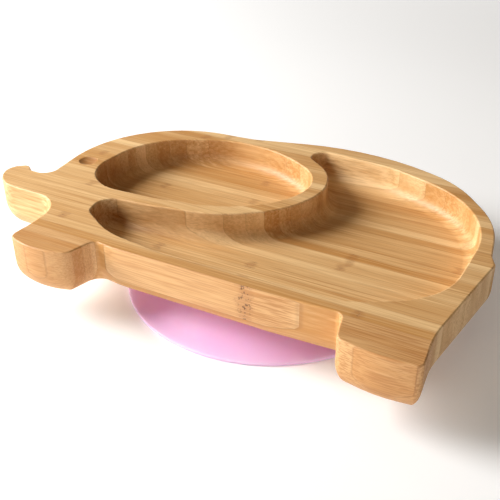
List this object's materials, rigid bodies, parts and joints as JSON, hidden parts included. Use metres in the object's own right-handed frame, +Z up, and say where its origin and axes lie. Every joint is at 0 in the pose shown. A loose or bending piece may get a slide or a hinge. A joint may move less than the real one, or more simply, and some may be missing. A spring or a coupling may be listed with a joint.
{
  "type": "toddler suction plate",
  "caption": "Animal-shaped bamboo plate with two milled food pockets, glued up from strips, on a removable silicone suction ring with a release tab.",
  "frame": {"origin": "on the table, under the centre of the plate's outline", "axes": "+Z up; +X from the elephant's trunk to its tail, along the bamboo grain; +Y from its feet to its back"},
  "size_m": [0.2597, 0.1666, 0.04],
  "materials": {
    "bamboo": "oiled satin, fine grain along X",
    "silicone": "soft satin, pastel pink"
  },
  "bodies": {
    "lip": {"suction_lip": "silicone", "suction_skirt": "silicone"},
    "collar": {"suction_collar": "silicone"},
    "board": {"bamboo_strip_01_front_leg": "bamboo", "bamboo_strip_01_hind_leg": "bamboo", "bamboo_strip_02_front_leg": "bamboo", "bamboo_strip_02_hind_leg": "bamboo", "bamboo_strip_03_front_leg": "bamboo", "bamboo_strip_03_belly": "bamboo", "bamboo_strip_03_hind_leg": "bamboo", "bamboo_strip_04": "bamboo", "bamboo_strip_05": "bamboo", "bamboo_strip_06": "bamboo", "bamboo_strip_07": "bamboo", "bamboo_strip_08": "bamboo", "bamboo_strip_09": "bamboo", "bamboo_strip_10": "bamboo", "bamboo_strip_11": "bamboo", "bamboo_strip_12": "bamboo", "bamboo_strip_13": "bamboo", "bamboo_strip_14": "bamboo", "bamboo_strip_15": "bamboo", "bamboo_strip_16": "bamboo", "bamboo_strip_17": "bamboo", "bamboo_strip_18": "bamboo", "bamboo_strip_19": "bamboo", "bamboo_strip_20": "bamboo", "bamboo_strip_21": "bamboo", "bamboo_strip_22": "bamboo", "bamboo_strip_23": "bamboo", "bamboo_strip_24": "bamboo", "bamboo_strip_25": "bamboo", "bamboo_strip_26": "bamboo", "bamboo_strip_27": "bamboo", "bamboo_strip_28": "bamboo", "bamboo_strip_29": "bamboo", "bamboo_strip_30": "bamboo"},
    "tab": {"pull_tab": "silicone"}
  },
  "joints": [
    {"name": "press_down", "type": "slide", "parent": "lip", "child": "collar", "axis": [0, 0, 1], "range_m": [-0.003, 0], "stiffness_N_per_m": 10000, "springref_m": 0.0006, "deforming": ["suction_skirt"]},
    {"name": "lift_off", "type": "slide", "parent": "collar", "child": "board", "axis": [0, 0, 1], "range_m": [0, 0.03]},
    {"name": "tab_lift", "type": "hinge", "parent": "lip", "child": "tab", "pos_m": [0.018, 0.0731, 0.0022], "axis": [1, 0, 0], "range_deg": [0, 60], "stiffness_Nm_per_rad": 0.01}
  ]
}
